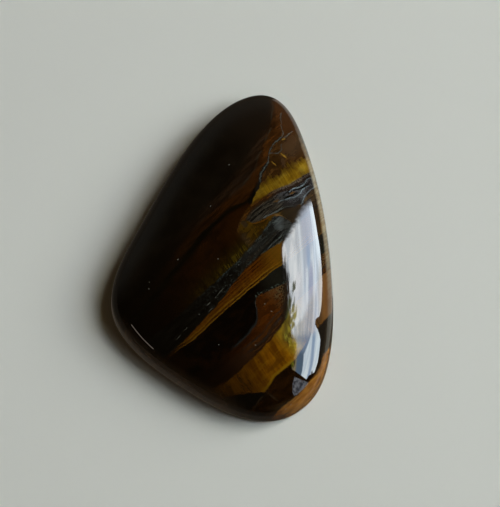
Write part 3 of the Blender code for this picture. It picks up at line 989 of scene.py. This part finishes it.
def window_material():
    """Bright hazy sky in upright folds, a blue gap beside a cloud lower down, and leaves."""
    material, glow = glowing_material("window_light")
    n = Nodes(material.node_tree)
    place = n.node("ShaderNodeTexCoord", {}).outputs["Object"]
    _, true_y, true_z = n.split(place)
    flutter = n.mul(n.sub(n.noise(place, 9.0, 3.0, 0.6), 0.5), 0.05)
    y = n.add(true_y, flutter)
    z = n.sub(true_z, flutter)
    across_folds = n.mul(n.add(z, n.mul(y, 0.35)), 13.0)
    folds = n.noise(n.vector(0.0, n.mul(y, 2.5), across_folds), 1.0, 3.0, 0.55)
    cloth = n.noise(n.vector(5.0, n.mul(y, 15.0), n.mul(z, 7.0)), 1.0, 3.0, 0.6)
    # upper part: white folds, bluish between them
    sky = n.fade(folds, 0.34, 0.64, (0.56, 0.66, 0.78), (0.92, 1.02, 1.1))
    inner = n.mul(n.step(z, 0.56, 0.66), n.step(y, 0.22, 0.27))
    sky = n.tint(sky, n.fade(cloth, 0.34, 0.64, (0.62, 0.68, 0.72), (1.1, 1.12, 1.1)), inner, 0.7)
    sky = n.tint(sky, (0.64, 0.71, 0.78), n.blob(y, z, (0.332, 0.5), (0.06, 0.09)), 0.8)
    sky = n.tint(sky, (0.42, 0.6, 0.84), n.blob(y, z, (0.278, 0.45), (0.034, 0.045)), 0.8)
    dull = n.mul(n.between(z, 0.3, 0.5, 0.06), n.step(y, 0.245, 0.285))
    sky = n.tint(sky, (0.5, 0.58, 0.74), dull, 0.6)
    outer = n.mul(n.step(z, 0.29, 0.23), n.step(y, 0.2, 0.24))
    sky = n.tint(sky, (1.08, 1.22, 1.32), outer, 0.85)
    sky = n.tint(sky, (0.66, 0.66, 0.6), n.step(z, 0.32, 0.22), n.step(y, 0.22, 0.18), 0.7)
    fold = n.away(z, n.line(y, BRIGHT_FOLD))
    sky = n.tint(sky, (0.96, 1.1, 1.24), n.step(fold, 0.035, 0.008), n.step(y, 0.17, 0.2), 0.8)
    # middle: lavender, white and beige haze
    sky = n.tint(sky, (0.44, 0.5, 0.68), n.blob(y, z, (0.22, 0.435), (0.03, 0.06)), 0.85)
    sky = n.tint(sky, (0.86, 0.89, 0.95), n.blob(y, z, (0.255, 0.735), (0.06, 0.12)), 0.6)
    haze = n.fade(folds, 0.36, 0.62, (0.31, 0.36, 0.42), (0.52, 0.55, 0.59))
    beige = n.mul(n.step(y, 0.212, 0.18), n.step(z, 0.34, 0.42), n.step(z, 1.1, 0.7))
    sky = n.tint(sky, haze, beige, 0.85)
    # lower part: dark blue gap, bright cloud with a blue stripe
    low = n.step(n.sub(y, n.mul(n.sub(z, 0.4), 0.05)), 0.135, 0.085)
    gap = n.fade(y, 0.06, -0.02, (0.22, 0.3, 0.42), (0.09, 0.15, 0.22))
    gap = n.fade(z, 0.82, 0.92, gap, (0.26, 0.22, 0.12))
    below = n.sub(n.line(y, CLOUD_EDGE), z)
    cloud = n.fade(folds, 0.36, 0.62, (0.64, 0.77, 0.88), (0.86, 0.98, 1.04))
    stripe = n.away(z, n.line(y, BLUE_STRIPE))
    cloud = n.tint(cloud, (0.26, 0.38, 0.56), n.step(stripe, 0.075, 0.01), 0.85)
    cloud = n.tint(cloud, (0.03, 0.04, 0.05), n.blob(y, z, (-0.118, 0.27), (0.022, 0.045)), 0.9)
    sky = n.mix(low, sky, n.fade(below, -0.015, 0.025, gap, cloud))
    # edges: soft towards the top, ragged where trees stand, with a few sunlit leaves
    twigs = n.sub(n.noise(place, 14.0, 4.0, 0.62), 0.5)
    past = n.add(n.sub(n.line(true_z, CURTAIN), true_y), n.mul(twigs, 0.004))
    sky = n.fade(past, 0.01, -0.01, sky, DARK)
    over = n.add(n.sub(z, n.line(y, TREE_TOPS)), n.mul(twigs, 0.35))
    sky = n.fade(over, -0.06, 0.07, sky, DARK)
    leafage = n.noise(n.vector(9.0, n.mul(y, 42.0), n.mul(z, 8.0)), 1.0, 2.0, 0.55)
    sprays = n.mul(
        n.between(over, -0.01, 0.2, 0.05), n.step(leafage, 0.52, 0.6), n.between(y, 0.0, 0.31, 0.02)
    )
    leaf = n.most([n.blob(y, z, (a, b), (c, d)) for a, b, c, d in LEAVES])
    leaf = n.most([leaf, n.mul(sprays, 0.8)])
    green = n.fade(leafage, 0.38, 0.62, (0.06, 0.066, 0.008), (0.24, 0.22, 0.022))
    green = n.fade(y, 0.255, 0.295, green, (0.05, 0.062, 0.02))
    sky = n.tint(sky, green, leaf, 0.92)
    dim = n.fade(cloth, 0.4, 0.58, (0.03, 0.04, 0.052), (0.15, 0.165, 0.185))
    sky = n.fade(true_y, -0.195, -0.2, sky, dim)
    fill(glow, {"Color": sky, "Strength": WINDOW_RADIANCE})
    return material


def make_window():
    panes = [[(WINDOW_X, y, z) for y, z in pane] for pane in (UPPER_PANE, LOWER_PANE, SIDE_PANE)]
    make_card("window", panes, window_material())


# A gap in a blind to the lower left, which the stone mirrors as a short bright line
GAP_AZIMUTH = math.radians(-153)  # from +X towards +Y
GAP_ELEVATION = math.radians(24.5)
GAP_DISTANCE = 0.6
GAP_WIDTH, GAP_HEIGHT = 0.17, 0.016
GAP_RADIANCE = 3.0
GAP_COLOUR = (1.0, 0.86, 0.7)


def make_blind_gap():
    data = bpy.data.lights.new("blind_gap", "AREA")
    data.shape = "RECTANGLE"
    data.size = GAP_WIDTH
    data.size_y = GAP_HEIGHT
    data.color = GAP_COLOUR
    data.energy = GAP_RADIANCE * math.pi * GAP_WIDTH * GAP_HEIGHT
    light = bpy.data.objects.new("blind_gap", data)
    level = math.cos(GAP_ELEVATION)
    towards = Vector(
        (math.cos(GAP_AZIMUTH) * level, math.sin(GAP_AZIMUTH) * level, math.sin(GAP_ELEVATION))
    )
    light.location = towards * GAP_DISTANCE
    light.rotation_mode = "QUATERNION"
    light.rotation_quaternion = towards.to_track_quat("Z", "Y")
    light.visible_camera = False
    bpy.context.scene.collection.objects.link(light)


# The room: dim, lighter low down on the far side, where the window lights a wall
ROOM = (0.027, 0.018, 0.008)
FAR_WALL = (0.11, 0.1, 0.082)
FAR_WALL_AZIMUTH = math.radians(105)


def room_world():
    world = bpy.data.worlds.new("room")
    world.use_nodes = True
    tree = world.node_tree
    n = Nodes(tree)
    x, y, z = n.split(n.node("ShaderNodeTexCoord", {}).outputs["Generated"])
    towards_wall = n.add(n.mul(x, math.cos(FAR_WALL_AZIMUTH)), n.mul(y, math.sin(FAR_WALL_AZIMUTH)))
    wall = n.mul(n.step(towards_wall, 0.3, 0.9), n.step(z, 0.72, 0.3))
    fill(tree.nodes["Background"], {"Color": n.mix(wall, ROOM, FAR_WALL)})
    return world


# Painted shade for the stone's rim to mirror, as if it lay in a shaded hollow: dark ground
# everywhere but close by on the window's side. The points are (x, y) in metres, seen from above.
SHADED_GROUND = [
    [
        (0.0, 1.4), (-1.4, 1.4), (-1.4, -1.4), (0.0, -1.4), (0.02, -0.038), (0.018, -0.016),
        (0.0, 0.0), (0.006, 0.016), (0.012, 0.041),
    ],
    [
        (0.0, -1.4), (1.4, -1.4), (1.4, 1.4), (0.0, 1.4), (0.012, 0.041), (0.027, 0.033),
        (0.035, 0.016), (0.038, 0.0), (0.036, -0.018), (0.02, -0.038),
    ],
]
SHADED_GROUND_COLOUR = (0.085, 0.07, 0.052)
ABOVE_FLOOR = 0.00002


def make_shaded_ground():
    """A glowing card just above the floor, which is seen only in the stone's polish: a painted
    reflection of shaded ground.
    """
    material, glow = glowing_material("shaded_ground")
    fill(glow, {"Color": opaque(SHADED_GROUND_COLOUR)})
    parts = [[(x, y, ABOVE_FLOOR) for x, y in part] for part in SHADED_GROUND]
    make_card("shaded_ground", parts, material, only_mirrored=True)


# The photograph's frame and where the stone's origin stands in it, in pixels
FRAME_WIDTH, FRAME_HEIGHT = 500, 507
STONE_PIXEL = (222.55, 257.9)
PIXEL_SIZE = 0.000124  # metres on the stone for one pixel
CAMERA_ELEVATION = math.radians(70)
CAMERA_DISTANCE = 0.25


def make_camera():
    data = bpy.data.cameras.new("camera")
    camera = bpy.data.objects.new("camera", data)
    bpy.context.scene.collection.objects.link(camera)
    back = Vector((0.0, -math.cos(CAMERA_ELEVATION), math.sin(CAMERA_ELEVATION)))
    right = Vector((1.0, 0.0, 0.0))
    up = back.cross(right)
    aside = (FRAME_WIDTH / 2 - STONE_PIXEL[0]) * PIXEL_SIZE
    above = (STONE_PIXEL[1] - FRAME_HEIGHT / 2) * PIXEL_SIZE
    camera.location = right * aside + up * above + back * CAMERA_DISTANCE
    camera.rotation_mode = "QUATERNION"
    camera.rotation_quaternion = back.to_track_quat("Z", "Y")
    data.sensor_width = 36.0
    data.lens = data.sensor_width * CAMERA_DISTANCE / (max(FRAME_WIDTH, FRAME_HEIGHT) * PIXEL_SIZE)
    data.clip_start, data.clip_end = 0.01, 10.0
    bpy.context.scene.camera = camera


stone = stone_object()
polished = stone_material()
stone.data.materials.append(polished)
stone.data.materials.append(back_material(polished))
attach(stone, "root")
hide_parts(NODE)

make_floor()
make_window()
make_shaded_ground()
make_blind_gap()
bpy.context.scene.world = room_world()
make_camera()
bpy.context.scene.view_settings.view_transform = "Standard"
